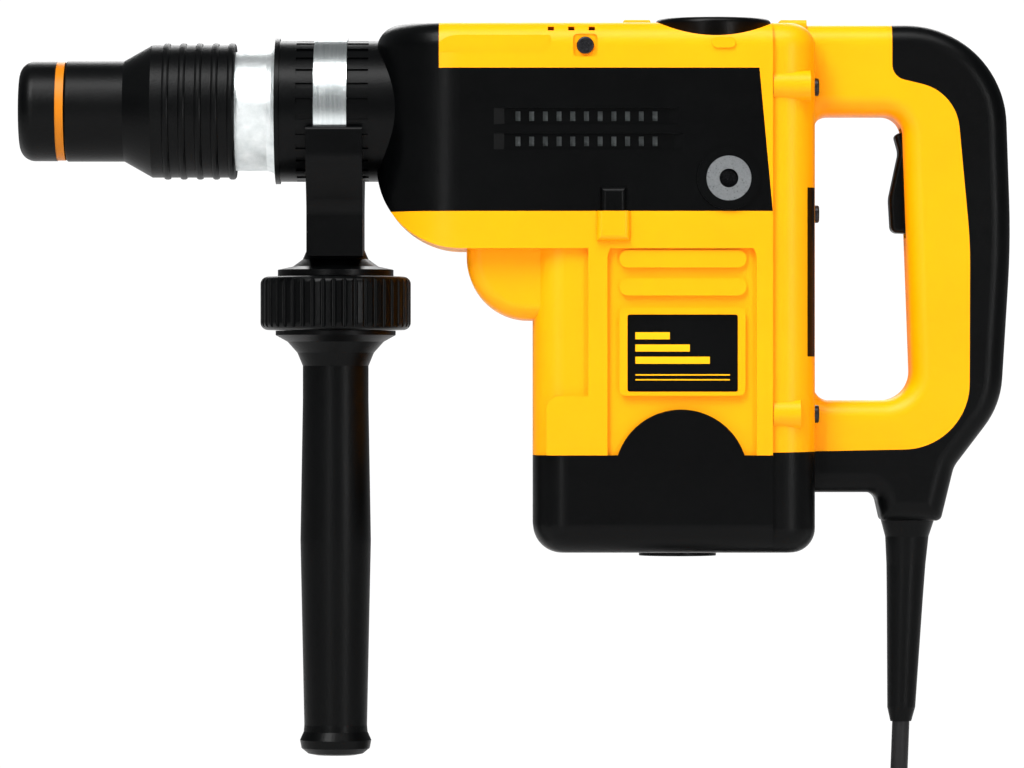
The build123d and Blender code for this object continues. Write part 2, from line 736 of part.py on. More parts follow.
def boss_column(side, z0, z1, width, square):
    """Half-round screw column that stands out of a side; its lower (0) or upper (-1) end stays square."""
    x = BOSS_X
    y0, y1 = sorted((side * (GEAR_HALF - 0.5), side * (GEAR_HALF + 3)))
    column = box(x - width / 2, x + width / 2, y0, y1, z0, z1)
    outer = column.faces().sort_by(Axis.Y)[-1 if side > 0 else 0].edges()
    end = outer.filter_by(Axis.X).sort_by(Axis.Z)[square]
    return fillet([e for e in outer if not e.is_same(end)], 2.6)


def top_cover():
    """Top cap over the mechanism, with a round seat for the selector and a lug over the handle."""
    shell = upper_block() - upper_block(WALL)
    shell += upper_block(1) & box(CASE_REAR_X + SLIP, SPLIT_X - 1, -60, 60, CASE_TOP_REAR, 60)
    shell = shell & top_zone()
    lug = box(SPLIT_X, LUG_END, -LUG_HALF, LUG_HALF, LUG_Z, TOP_Z)
    pad = box(341, LUG_END, -LUG_HALF, LUG_HALF, TOP_Z, 41)
    rear_pad = fillet((lug + pad).edges().filter_by(Axis.X), 2)
    shell += rear_pad
    shell += fillet(box(269.8, 282.1, -30, 30, 36, 40.2).edges().group_by(Axis.Z)[-1], 1)
    mark = [(309.5, 26.9, 2.2), (320, 26.9, 2.2), (320, 31.5, 2.2), (309.5, 31.5, 2.2)]
    for y0, y1 in both_sides(GEAR_HALF - 1, GEAR_HALF + 0.9):
        shell += slab(mark, y1, y0)
    shell -= saddle_cut()
    shell -= rod_z(DIAL_R + SLIP, DIAL_FLOOR, 60, x=DIAL_X)
    shell -= rod_z(DIAL_STEM_R + SLIP, 0, 60, x=DIAL_X)
    x, z = COVER_SCREW
    for y0, y1 in both_sides(CASE_HALF + 0.1, GEAR_HALF - 1):
        shell += rod_y(5, y0, y1, x, z)
    for y0, y1 in both_sides(GEAR_HALF - 1.2, 60):
        shell -= slab([(186, 24.9, 0), (237, 24.9, 5.6), (237, 36.3, 5.6), (186, 36.3, 0)], y1, y0)
    for y0, y1 in both_sides(GEAR_HALF - 10, 60):
        for k in range(TOP_SLOTS):
            slot_x = TOP_SLOT_X + TOP_SLOT_PITCH * k
            shell -= box(slot_x - 1.4, slot_x + 1.4, y0, y1, 34.7, 36.5)
    for y0, y1 in both_sides(POCKET_Y, 60):
        shell -= slab([(247, 22.9, 2), (258, 22.9, 2), (258, 33.2, 2), (247, 33.2, 2)], y1, y0)
    for y0, y1 in both_sides(CASE_HALF - 6, 60):
        shell -= rod_y(SCREW_R, y0, y1, x, z)
    return shell


def motor_outside(d):
    """Outside of the motor housing: chin, belly and upright box."""
    chin = upper_block(d) & box(140, SPLIT_X - d, -60, 60, CHIN_Z + d, COVER_BOTTOM + d)
    belly = slab(
        [(BELLY_X + d, -55, 0), (265, -55, 0), (265, BELLY_Z + d, 0), (BELLY_X + d, BELLY_Z + d, 28 - d)],
        BELLY_HALF - d,
    )
    front = [e for e in belly.faces().filter_by(Axis.Y).edges() if e.center().X < 230 and e.center().Z < -60]
    if d == 0:
        belly = fillet(front, 7)
    upright = box(MOTOR_FRONT + d, SPLIT_X - d, d - MOTOR_HALF, MOTOR_HALF - d, BASE_TOP - d, -50)
    upright = fillet(upright.edges().filter_by(Axis.Z).group_by(Axis.X)[0], 14 - d)
    return chin + belly + upright


def raised_panels():
    """Raised frame, ribs, plate border and lower boss on a side of the motor box, with their heights."""
    frame = rounded([(253.8, -50.9, 0), (SPLIT_X, -50.9, 0), (SPLIT_X, BASE_TOP, 0), (253.8, BASE_TOP, 0)])
    frame -= rounded([(262.4, -60, 8), (329.5, -60, 8), (329.5, BASE_TOP - 1, 0), (262.4, BASE_TOP - 1, 0)])
    border = rounded([(267.8, -129.7, 3), (324.5, -129.7, 3), (324.5, -90, 3), (267.8, -90, 3)])
    border -= rounded([(x, z, 1) for x, z in plate_corners()])
    boss = rounded([(235, BASE_TOP, 0), (253.8, BASE_TOP, 0), (253.8, -129.8, 0), (235, -129.8, 6)])
    panels = [(frame, PANEL_PROUD), (border, 2.5), (boss, PANEL_PROUD)]
    for z in (-68.1, -80.7):
        rib = [(267.8, z - 3.9, 3.8), (325, z - 3.9, 3.8), (325, z + 3.9, 3.8), (267.8, z + 3.9, 3.8)]
        panels.append((rounded(rib), 2))
    return panels


def plate_corners():
    """Corners of the nameplate's seat."""
    return [(271.4, -127.9), (321.1, -127.9), (321.1, -93.1), (271.4, -93.1)]


def motor_housing():
    """Yellow motor housing, open above and below."""
    body = motor_outside(0) - motor_outside(WALL)
    body -= box(140, SPLIT_X - WALL, -60, 60, COVER_BOTTOM, 0)
    for face, proud in raised_panels():
        body += extrude(side_plane(MOTOR_HALF + proud) * face, amount=proud)
        body += extrude(side_plane(-MOTOR_HALF) * face, amount=proud)
    body += (upper_block() - upper_block(WALL)) & rear_zone()
    for side in (-1, 1):
        body += boss_column(side, -60, COVER_BOTTOM, 15, -1)
    body -= rod_y(EAR_R, -60, 60, EAR_X, EAR_Z)
    return body


def base_outside(d):
    """Outside of the lower cover."""
    block = box(MOTOR_FRONT + d, SPLIT_X - d, d - BASE_HALF, BASE_HALF - d, BASE_Z + d, BASE_TOP)
    block = fillet(block.edges().filter_by(Axis.Z).group_by(Axis.X)[0], 16 - d)
    low = block.faces().sort_by(Axis.Z)[0].edges()
    rear = low.filter_by(Axis.Y).sort_by(Axis.X)[-1]
    return fillet([e for e in low if not e.is_same(rear)], 13 - d)


def base_cover():
    """Black lower cover with a round ear up each side and a boss for the lower bearing."""
    body = base_outside(0) - base_outside(WALL)
    for y0, y1 in both_sides(MOTOR_HALF - WALL, BASE_HALF):
        body += rod_y(EAR_R, y0, y1, EAR_X, EAR_Z) & box(250, SPLIT_X, y0, y1, BASE_TOP, -100)
    body += rod_z(17.6, BASE_Z - 2, BASE_Z + 1, x=MOTOR_X)
    seat = rod_z(16, BASE_Z + 1, -176, x=MOTOR_X) - rod_z(MOTOR_BEARING_R, -184, -170, x=MOTOR_X)
    return body + (seat - rod_z(6, -190, -170, x=MOTOR_X))


def gearcase():
    """Cast case that holds the crank, the gears and the cylinder's rear bearing."""
    outer = upper_block(WALL + CASE_GAP)
    body = outer & box(162, CASE_REAR_X, -60, 60, -57, CASE_TOP)
    body += outer & box(CASE_REAR_X - 5, 328, -60, 60, -57, CASE_TOP_REAR - SLIP)
    body += fillet(box(203, 312, -34, 34, -72, -56).edges().filter_by(Axis.Z), 6)
    body -= box(188, CASE_REAR_X - 3, -33, 33, -39.5, 31)
    body -= box(188, CASE_REAR_X + 5, -27, 27, -39.5, 15)
    for x, r in ((CRANK_X, 30), (LAY_X, 21), (MOTOR_X, 11)):
        body -= rod_z(r, -60, -47.5, x=x)
    body -= rod_x(BARREL_BORE, 150, 175) + rod_x(COLLAR_R, 150, COLLAR_END) + rod_x(BEARING_OUT, 174, 190)
    for x, r, out in gear_shafts():
        body -= rod_z(out, -47.5, -39, x=x) + rod_z(out, -68, -59, x=x) + rod_z(r + 1, -71, -30, x=x)
    body -= rod_z(MOTOR_BEARING_R, -73, -62, x=MOTOR_X) + rod_z(7, -63, -50, x=MOTOR_X)
    body -= rod_z(DIAL_STEM_R + SLIP, 12, 40, x=DIAL_X)
    for y0, y1 in both_sides(GEAR_HALF - INSERT_LEN, 60):
        body -= rod_y(INSERT_R, y0, y1, INSERT_X, INSERT_Z)
    x, z = COVER_SCREW
    for y0, y1 in both_sides(CASE_HALF - 6, 60):
        body -= rod_y(SCREW_R, y0, y1, x, z)
    return body


def gear_shafts():
    """Places, journal radii and bearing radii of the two vertical shafts."""
    return [(CRANK_X, 7, 14), (LAY_X, 6, 12)]


def handle_inserts():
    """Threaded steel inserts, one each side."""
    rings = []
    for y0, y1 in both_sides(GEAR_HALF - INSERT_LEN, GEAR_HALF + 1.0):
        ring = rod_y(INSERT_R, y0, y1, INSERT_X, INSERT_Z)
        inner, outer = (3, 1) if y0 > 0 else (-1, -3)
        hole = rod_y(INSERT_HOLE_R, y0 + inner, y1 + outer, INSERT_X, INSERT_Z)
        rings.append((ring - hole).solids()[0])
    return rings


def air_baffle():
    """Ring that guides the fan's air, under the gear case."""
    disc = box(252, SPLIT_X - WALL, WALL - MOTOR_HALF, MOTOR_HALF - WALL, -75.5, -74)
    return disc - rod_z(22, -80, -70, x=MOTOR_X)


def nameplates():
    """Plain plates in the raised borders, one each side."""
    face = rounded([(x, z, 1) for x, z in plate_corners()])
    face = offset(face, amount=-0.1)
    plates = [extrude(side_plane(MOTOR_HALF + 1.2) * face, amount=1.2)]
    plates.append(extrude(side_plane(-MOTOR_HALF) * face, amount=1.2))
    return [p.solids()[0] for p in plates]


# ---------------------------------------------------------------- rear handle
def loop_outline(d):
    """Outer outline of the handle's loop, taken in by d."""
    face = rounded(
        [
            (SPLIT_X + 6, TOP_Z, 0), (443, TOP_Z, 46), (GRIP_REAR + 0.8, -60, 400), (441.8, -134, 40),
            (420.5, -162, 12), (414.5, GLAND_Z, 3), (387.5, GLAND_Z, 2), (384.5, ARM_BOTTOM, 5),
            (SPLIT_X + 6, ARM_BOTTOM, 0),
        ]
    )
    return face if d == 0 else offset(face, amount=-d)


def opening_outline(d):
    """The hand opening, grown by d."""
    face = rounded(
        [
            (COLUMN_REAR, OPENING_TOP, 7), (396.8, OPENING_TOP, 9), (GRIP_FRONT_X, OPENING_BOTTOM, 13),
            (COLUMN_REAR, OPENING_BOTTOM, 7),
        ]
    )
    return face if d == 0 else offset(face, amount=d)


def handle_outside(d):
    """Column and loop of the rear handle, taken in by d."""
    column = box(SPLIT_X, COLUMN_REAR - d, d - COLUMN_HALF, COLUMN_HALF - d, BASE_Z + d, TOP_Z - d)
    column = fillet(column.edges().filter_by(Axis.Z).group_by(Axis.X)[-1], 15 - d)
    top = column.faces().sort_by(Axis.Z)[-1].edges()
    front = top.filter_by(Axis.Y).sort_by(Axis.X)[0]
    column = fillet([e for e in top if not e.is_same(front)], 11 - d)
    low = column.faces().sort_by(Axis.Z)[0].edges()
    front = low.filter_by(Axis.Y).sort_by(Axis.X)[0]
    column = fillet([e for e in low if not e.is_same(front)], 11 - d)
    ring = loop_outline(d) - opening_outline(d)
    if d > 0:
        half = GRIP_HALF - d - 2
        return column + extrude(side_plane(half) * ring, amount=2 * half)
    loop = extrude(side_plane(GRIP_HALF) * ring, amount=2 * GRIP_HALF)
    faces = loop.faces().filter_by(Axis.Y)
    return column + fillet([e for f in faces for e in f.edges() if e.center().X > SPLIT_X + 8], 9)


def grip_zone():
    """Region of the soft overmould round the back of the handle and under its lower arm."""
    return slab(
        [
            (TAPER_END_X, 60, 0), (TAPER_END_X, 15, 7), (421, 8, 22), (427.3, -60, 200), (427, -153.5, 30),
            (SPLIT_X - 10, -155.5, 0), (SPLIT_X - 10, -260, 0), (480, -260, 0), (480, 60, 0),
        ],
        60,
    )


def handle_shells():
    """Left and right yellow halves and the black overmould."""
    hollow = handle_outside(WALL)
    whole = handle_outside(0) - hollow
    for z, end in SCREW_COLUMNS:
        for side in (-1, 1):
            column = rod_x(SCREW_COLUMN_R, SPLIT_X + SLIP, end, side * SCREW_COLUMN_Y, z)
            whole += column - hollow
    whole += box(SPLIT_X, SPLIT_X + WALL, 5 - COLUMN_HALF, COLUMN_HALF - 5, 20, TOP_Z - 5)
    whole -= box(SPLIT_X - 1, LUG_END + SLIP, -LUG_HALF - SLIP, LUG_HALF + SLIP, LUG_Z - SLIP, 60)
    whole -= box(380, 412, -TRIGGER_HALF - SLIP, TRIGGER_HALF + SLIP, -58, -8)
    whole -= rod_z(GLAND_R, GLAND_Z - 5, GLAND_Z + 12, x=GLAND_X)
    whole -= trigger_pin()
    for shank in handle_shanks():
        whole -= shank
    zone = grip_zone()
    yellow = whole - zone
    left = yellow & box(300, 480, -60, 0, -260, 60)
    right = yellow & box(300, 480, 0, 60, -260, 60)
    return left, right, whole & zone


TRIGGER_CORNERS = [
    (400.5, -9.5, 3), (393.4, -10.5, 2), (395.8, -19, 8), (391.3, -40, 14), (392.2, -55.5, 3),
    (403, -56, 3), (409, -48, 5), (409, -11, 3),
]


def trigger():
    """Trigger lever, hinged at its upper end."""
    lever = slab(TRIGGER_CORNERS, TRIGGER_HALF)
    faces = lever.faces().filter_by(Axis.Y)
    front = [e for f in faces for e in f.edges() if e.center().X < 400]
    return fillet(front, 2) - rod_y(1.5 + RUN, -20, 20, TRIGGER_X, TRIGGER_Z)


def trigger_pin():
    """Steel pin through the trigger's upper end."""
    return rod_y(1.5, -GRIP_HALF + WALL, GRIP_HALF - WALL, TRIGGER_X, TRIGGER_Z)


def switch_body():
    """Switch behind the trigger."""
    block = fillet(box(418, 434, -11, 11, -70, -14).edges(), 1)
    return block


def trigger_spring():
    """Return spring between the trigger and the switch."""
    return rod_x(2.6, 409.2, 418, z=-34)


def strain_relief():
    """Tapered rubber boot, with a collar held in the gland."""
    foot = rod_z(GLAND_R, GLAND_Z, GLAND_Z + 8, x=GLAND_X)
    rings = []
    tip = Vector(*BOOT_TIP)
    top = Vector(*BOOT_TOP)
    for share, r in ((0, 12.1), (0.08, 9.9), (0.22, 8.9), (0.4, 8.2), (0.93, 6.4), (1, 4.8)):
        centre = top + (tip - top) * share
        rings.append(Pos(*centre) * Circle(r))
    body = foot
    for a, b in zip(rings, rings[1:]):
        body += loft([a, b], ruled=True)
    return body


# ---------------------------------------------------------------- side handle
def clamp_strap():
    """Steel band over the collar; its ends sit in the bracket."""
    inner = COLLAR_R + SLIP
    ring = rod_x(inner + STRAP_THICK, STRAP_START, STRAP_START + STRAP_WIDTH)
    ring -= rod_x(inner, STRAP_START - 1, STRAP_START + STRAP_WIDTH + 1)
    return ring - box(100, 170, -60, 60, -60, STRAP_END_Z)


def handle_bracket():
    """Saddle under the collar with a waisted neck and a round foot."""
    x0 = SIDE_X - NECK_LEN_X / 2
    x1 = SIDE_X + NECK_LEN_X / 2
    edge = COLLAR_R + STRAP_THICK + SADDLE_WALL
    shoulder = 8.1 - COLLAR_R
    waist = -COLLAR_R - 11.9
    half = [(edge, STRAP_END_Z, 2), (edge, shoulder, 12), (NECK_HALF_Y, waist, 12)]
    half.append((NECK_HALF_Y, FLARE_TOP - 4, 0))
    saddle = [(-y, z, r) for y, z, r in half] + half[::-1]
    front = Plane(origin=(x0, 0, 0), x_dir=(0, 1, 0), z_dir=(1, 0, 0))
    body = extrude(front * rounded(saddle), amount=NECK_LEN_X)
    foot = turned_z(
        [
            (0, FLARE_TOP), (NECK_LEN_X / 2, FLARE_TOP), (15, -67.5), (19.5, -70.8), (BRACKET_R, -72.3),
            (BRACKET_R, BRACKET_BOTTOM), (0, BRACKET_BOTTOM),
        ],
        SIDE_X,
    )
    body += foot
    body = body - rod_x(COLLAR_R + SLIP, x0 - 30, x1 + 30)
    body += rod_z(SPIGOT_R, GRIP_TOP - 12, BRACKET_BOTTOM, x=SIDE_X)
    return body - rod_z(STUD_R + SLIP, -200, -45, x=SIDE_X)


def tension_bolt():
    """Long bolt that pulls the strap tight, from the wheel up into the saddle."""
    return rod_z(STUD_R, GRIP_TOP - 14, -46, x=SIDE_X) + rod_z(6, GRIP_TOP - 18, GRIP_TOP - 14, x=SIDE_X)


def clamp_wheel():
    """Fluted wheel under the bracket that tightens the strap."""
    top = BRACKET_BOTTOM - SLIP
    wheel = rod_z(WHEEL_R, WHEEL_BOTTOM, top, x=SIDE_X)
    wheel = fillet(wheel.edges(), 3.5)
    for k in range(WHEEL_FLUTES):
        angle = 2 * pi * k / WHEEL_FLUTES
        at = (SIDE_X + (WHEEL_R + 0.6) * cos(angle), (WHEEL_R + 0.6) * sin(angle))
        wheel -= rod_z(1.5, WHEEL_BOTTOM - 1, top + 1, *at)
    return wheel - rod_z(SPIGOT_R + RUN, WHEEL_BOTTOM - 1, top + 1, x=SIDE_X)


def side_grip():
    """Soft round grip below the wheel."""
    profile = [
        (0, GRIP_TOP), (27.4, GRIP_TOP), (27.4, GRIP_TOP - 2), (22, GRIP_TOP - 5), (17.5, GRIP_TOP - 10),
        (15, GRIP_TOP - 16), (15, -131.7), (16.1, -195.6), (14.35, -280), (14.6, -283), (16.3, -286.8),
        (15.6, -290.5), (12.5, -293), (9, GRIP_BOTTOM), (0, GRIP_BOTTOM),
    ]
    body = turned_z(profile, SIDE_X)
    body -= rod_z(SPIGOT_R, GRIP_TOP - 12, GRIP_TOP + 1, x=SIDE_X)
    body -= rod_z(STUD_R + SLIP, GRIP_TOP - 14, GRIP_TOP, x=SIDE_X)
    return body - rod_z(6 + SLIP, GRIP_TOP - 18 - SLIP, GRIP_TOP - 14 + SLIP, x=SIDE_X)


# ---------------------------------------------------------------- selector
def mode_dial():
    """Round selector with a domed top and a stem into the gear case."""
    knob = rod_z(DIAL_R, DIAL_FLOOR + SLIP, DIAL_TOP - 0.3, x=DIAL_X)
    knob = fillet(knob.edges().group_by(Axis.Z)[-1], 2.5)
    bar = box(DIAL_X - 22, DIAL_X + 22, -5, 5, DIAL_TOP - 3, DIAL_TOP)
    knob += fillet(bar.edges().filter_by(Axis.Z), 4.9)
    return knob + rod_z(DIAL_STEM_R, 14, DIAL_FLOOR + SLIP, x=DIAL_X)


# ---------------------------------------------------------------- fasteners
def cover_screws():
    """Screws seen at the bottom of the two side pockets in the top cover."""
    x, z = COVER_SCREW
    screws = []
    for side in (-1, 1):
        one = screw(3.9, 1.6, SCREW_R, POCKET_Y - CASE_HALF + 5)
        screws += placed(one, (x, side * POCKET_Y, z), (0, side, 0)).solids()
    return screws


def handle_screw_places():
    """Where the screws pass through the column's rear face."""
    return [(COLUMN_REAR, side * HANDLE_SCREW_Y, z) for z in HANDLE_SCREW_Z for side in (-1, 1)]


def handle_shanks():
    """Holes for those screws."""
    return [rod_x(SCREW_R, x - 12, x + 5, y, z) for x, y, z in handle_screw_places()]


def handle_screws():
    """Screws that hold the handle to the motor housing, heads to the rear."""
    screws = []
    for at in handle_screw_places():
        screws += placed(screw(4, 2, SCREW_R, 12), at, (1, 0, 0)).solids()
    return screws


# ---------------------------------------------------------------- mains lead
TAIL_ROUTE = [(299.0, 68.0, -346.9), (298.4, 48.0, -345.1), (296.8, 27.0, -338.9)]
CORD_ROUTE = [
    (397.0, 0.0, -278.2), (396.0, 0.0, -307.0), (395.5, 14.5, -332.0), (395.0, 39.6, -346.5),
    (395.0, 68.0, -346.9),
]


def route_length(points, radii):
    """Length of the straight runs and tangent arcs through the points."""
    runs = sum((Vector(*b) - Vector(*a)).length for a, b in zip(points, points[1:]))
    for (a, b, c), r in zip(zip(points, points[1:], points[2:]), radii):
        turn = radians((Vector(*b) - Vector(*a)).get_angle(Vector(*c) - Vector(*b)))
        runs += r * turn - 2 * r * tan(turn / 2)
    return runs


def cord_tube(points):
    """Tube along a free route, with every corner rounded as far as its runs allow."""
    radii = []
    for a, b, c in zip(points, points[1:], points[2:]):
        first = Vector(*b) - Vector(*a)
        last = Vector(*c) - Vector(*b)
        turn = radians(first.get_angle(last))
        radii.append(0.45 * min(first.length, last.length) / tan(turn / 2))
    print("cord arc radii", [round(r, 1) for r in radii])
    start = Plane(origin=points[0], z_dir=Vector(*points[1]) - Vector(*points[0]))
    tube = sweep(start * Circle(CORD_R), path=FilletPolyline(*points, radius=radii))
    expected = pi * CORD_R ** 2 * route_length(points, radii)
    print("cord volume", round(tube.volume), "against", round(expected))
    return tube


def cord_coil():
    """Outer shape of the coiled rest of the lead."""
    x, y = COIL_CENTRE
    ring = rod_z(COIL_R + COIL_HALF_WIDTH, FLOOR_Z, FLOOR_Z + COIL_HEIGHT, x, y)
    return ring - rod_z(COIL_R - COIL_HALF_WIDTH, FLOOR_Z - 1, FLOOR_Z + COIL_HEIGHT + 1, x, y)


def plug():
    """Moulded two-pin plug with its boot, lying beside the coil."""
    x, y, z = TAIL_ROUTE[-1]
    boot = loft([Circle(CORD_R + 1), Pos(0, 0, PLUG_BOOT) * Circle(8)], ruled=True)
    boot = placed(boot, (x, y, z), (0, -1, 0))
    back = y - PLUG_BOOT
    front = back - PLUG_LEN
    body = box(x - PLUG_WIDTH / 2, x + PLUG_WIDTH / 2, front, back, z - PLUG_HALF, z + PLUG_HALF)
    body = fillet(body.edges().filter_by(Axis.Y), PLUG_HALF - 2)
    pins = [rod_y(2.4, front - 19, front, x + side * 9.5, z).solids()[0] for side in (-1, 1)]
    return [(body + boot).solids()[0]] + pins


def main():
    """Builds every node and writes it."""
    left_holder, left_brush, left_spring = brush_parts(-1)
    right_holder, right_brush, right_spring = brush_parts(1)
    left_shell, right_shell, grip = handle_shells()
    save(
        {
            "spindle": spindle(), "locking_segments": locking_segments(), "nose_cap": nose_cap(),
            "marker_ring": marker_ring(), "lock_sleeve": lock_sleeve(), "sleeve_spring": sleeve_spring(),
            "front_barrel": front_barrel(), "clamp_collar": collar(),
            "spindle_bearings": spindle_bearings(), "oil_seal": oil_seal(), "ring_gear": ring_gear(),
            "impact_bolt": impact_bolt(), "striker": striker(), "piston": piston(),
            "wrist_pin": wrist_pin(), "connecting_rod": connecting_rod(), "crankshaft": crankshaft(),
            "crank_gear": crank_gear(), "lay_gear": lay_gear(), "bevel_pinion": bevel_pinion(),
            "shaft_bearings": shaft_bearings(), "armature_shaft": armature_shaft(),
            "armature_core": armature_core(), "commutator": commutator(), "cooling_fan": cooling_fan(),
            "stator_core": stator_core(), "field_coils": field_coils(),
            "brush_holders": [left_holder.solids()[0], right_holder.solids()[0]],
            "left_brush": left_brush, "right_brush": right_brush,
            "left_brush_spring": left_spring, "right_brush_spring": right_spring,
            "gearcase": gearcase(), "gearcase_cover": gearcase_cover(), "top_cover": top_cover(),
            "motor_housing": motor_housing(), "base_cover": base_cover(), "air_baffle": air_baffle(),
            "nameplates": nameplates(), "handle_inserts": handle_inserts(),
            "handle_left_shell": left_shell, "handle_right_shell": right_shell, "rear_grip": grip,
            "trigger": trigger(), "trigger_pin": trigger_pin(), "trigger_spring": trigger_spring(),
            "switch_body": switch_body(), "strain_relief": strain_relief(),
            "clamp_strap": clamp_strap(), "handle_bracket": handle_bracket(),
            "tension_bolt": tension_bolt(), "clamp_wheel": clamp_wheel(), "side_grip": side_grip(),
            "mode_dial": mode_dial(), "cover_screws": cover_screws(), "handle_screws": handle_screws(),
            "cord": cord_tube(CORD_ROUTE), "cord_coil": cord_coil(),
            "cord_tail": cord_tube(TAIL_ROUTE), "plug": plug(),
        }
    )


main()
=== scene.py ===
"""Looks of an electric demolition hammer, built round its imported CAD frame. Metres; +Z up."""

import math

import bmesh
import bpy
from mathutils import Matrix, Vector
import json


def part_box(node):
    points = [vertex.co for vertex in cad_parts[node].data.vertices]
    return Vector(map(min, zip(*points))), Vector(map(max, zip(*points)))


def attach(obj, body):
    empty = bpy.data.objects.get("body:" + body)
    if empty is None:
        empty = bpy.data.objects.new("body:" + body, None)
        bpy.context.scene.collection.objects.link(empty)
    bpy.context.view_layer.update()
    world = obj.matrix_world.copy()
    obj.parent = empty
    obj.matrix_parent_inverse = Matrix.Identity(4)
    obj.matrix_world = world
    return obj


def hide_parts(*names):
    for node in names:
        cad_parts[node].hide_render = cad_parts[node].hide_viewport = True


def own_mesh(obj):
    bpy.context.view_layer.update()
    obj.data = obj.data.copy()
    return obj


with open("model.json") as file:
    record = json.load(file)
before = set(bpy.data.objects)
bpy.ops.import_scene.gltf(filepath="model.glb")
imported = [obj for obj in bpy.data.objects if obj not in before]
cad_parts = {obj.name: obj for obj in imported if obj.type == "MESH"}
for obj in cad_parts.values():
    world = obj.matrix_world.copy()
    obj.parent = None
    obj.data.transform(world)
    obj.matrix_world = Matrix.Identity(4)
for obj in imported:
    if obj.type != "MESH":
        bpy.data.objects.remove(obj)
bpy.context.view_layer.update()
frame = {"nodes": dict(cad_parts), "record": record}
nodes = frame["nodes"]

# ---------------------------------------------------------------- sizes in metres
CORD_R = 0.004
FLOOR_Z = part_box("cord_coil")[0].z
COIL_LOW, COIL_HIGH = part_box("cord_coil")
COIL_X = (COIL_LOW.x + COIL_HIGH.x) / 2
COIL_Y = (COIL_LOW.y + COIL_HIGH.y) / 2
COIL_OUT = (COIL_HIGH.x - COIL_LOW.x) / 2 - CORD_R
COIL_IN = COIL_OUT - 2 * CORD_R
COIL_LAYERS = round((COIL_HIGH.z - COIL_LOW.z) / (2 * CORD_R))
LEAD = [
    (0.3970, 0.0, -0.2782), (0.3960, 0.0, -0.3070), (0.3955, 0.0145, -0.3320),
    (0.3950, 0.0396, -0.3465), (0.3950, 0.0680, -0.3469),
]
TAIL = [(0.2990, 0.0680, -0.3469), (0.2984, 0.0480, -0.3451), (0.2968, 0.0270, -0.3389)]
POINTS_PER_TURN = 16

PRINT_SUNK, PRINT_PROUD, PRINT_MARGIN, PRINT_FOOT = 0.0002, 0.00015, 0.0035, 0.005
RULE_HEIGHT, RULE_STEP = 0.0006, 0.0022
BAR_COUNT, BAR_START, BAR_STEP, BAR_HEIGHT, BAR_SHORTER = 3, 0.0075, 0.0055, 0.0032, 0.009
STRIP_X, STRIP_WIDTH, STRIP_COLUMNS = 0.3526, 0.0034, 5
STRIP_TOP, STRIP_HEIGHT, STRIP_ROWS = -0.0358, 0.0762, 12
STRIP_PROUD, STRIP_RAY_Y = 0.0002, -0.1
THREAD_CREST, THREAD_ROOT, THREAD_PITCH, THREAD_TURNS = 0.0039, 0.00423, 0.0015, 8
THREAD_SINK, THREAD_SIDES = 0.0012, 40
SPRING_STEPS = 20
TIE_THICK, TIE_HALF, TIE_CORNER, TIE_GAP = 0.0012, 0.007, 0.004, 0.0002

VIEW_CENTRE = Vector((0.2195, 0, -0.1244))
CAMERA_BACK, CAMERA_LENS, CAMERA_SENSOR = 3.0, 231, 36
FLOOR_HALF, FLOOR_DROP, FLOOR_FADE = 15, 0.0005, (0.35, 0.85)
WHITE_GLOW, SKY_LIGHT, SUN_LIGHT = 1.05, 0.16, 1.2
LAMPS = [  # name, place, width, height, watts
    ("key_box", (-0.7, -1.6, 1.3), 0.7, 0.7, 24),
    ("top_box", (0.2, -0.7, 1.3), 1.8, 0.6, 22),
    ("left_strip", (-0.6, -2.0, 0.0), 0.1, 1.0, 5),
    ("right_strip", (1.25, -1.5, 0.0), 0.14, 1.2, 10),
    ("rear_box", (0.3, 1.8, 0.9), 1.4, 0.8, 14),
]


# ---------------------------------------------------------------- node helpers
def start_material(name):
    """New node material: returns it with its node tree and its shader."""
    mat = bpy.data.materials.new(name)
    mat.use_nodes = True
    return mat, mat.node_tree, mat.node_tree.nodes["Principled BSDF"]


def add(tree, kind, **settings):
    """New node with its properties and, by socket name, its input values."""
    node = tree.nodes.new(kind)
    for key, value in settings.items():
        if hasattr(node, key):
            setattr(node, key, value)
        else:
            node.inputs[key.replace("_", " ")].default_value = value
    return node


def object_space(tree, scale=(1, 1, 1)):
    """Object coordinates through a mapping that can stretch a pattern."""
    where = add(tree, "ShaderNodeTexCoord")
    mapping = add(tree, "ShaderNodeMapping")
    mapping.inputs["Scale"].default_value = scale
    tree.links.new(where.outputs["Object"], mapping.inputs["Vector"])
    return mapping.outputs["Vector"]


def noise(tree, where, scale, detail=3.0, roughness=0.55):
    """Noise texture's factor at that many cells a metre."""
    node = add(tree, "ShaderNodeTexNoise", Scale=scale, Detail=detail, Roughness=roughness)
    tree.links.new(where, node.inputs["Vector"])
    return node.outputs["Fac"]


def ramp(tree, factor, low, high, start=0.3, end=0.7):
    """Blend from one colour to another between two values of a factor."""
    node = add(tree, "ShaderNodeValToRGB")
    node.color_ramp.elements[0].position = start
    node.color_ramp.elements[1].position = end
    node.color_ramp.elements[0].color = (*low, 1)
    node.color_ramp.elements[1].color = (*high, 1)
    tree.links.new(factor, node.inputs["Fac"])
    return node.outputs["Color"]


def span(tree, factor, low, high):
    """Factor stretched over a range of numbers."""
    node = add(tree, "ShaderNodeMapRange")
    node.inputs["To Min"].default_value = low
    node.inputs["To Max"].default_value = high
    tree.links.new(factor, node.inputs["Value"])
    return node.outputs["Result"]


def bump(tree, shader, factor, distance, strength=1.0):
    """Bump of a real height on the shader."""
    node = add(tree, "ShaderNodeBump", Strength=strength, Distance=distance)
    tree.links.new(factor, node.inputs["Height"])
    tree.links.new(node.outputs["Normal"], shader.inputs["Normal"])


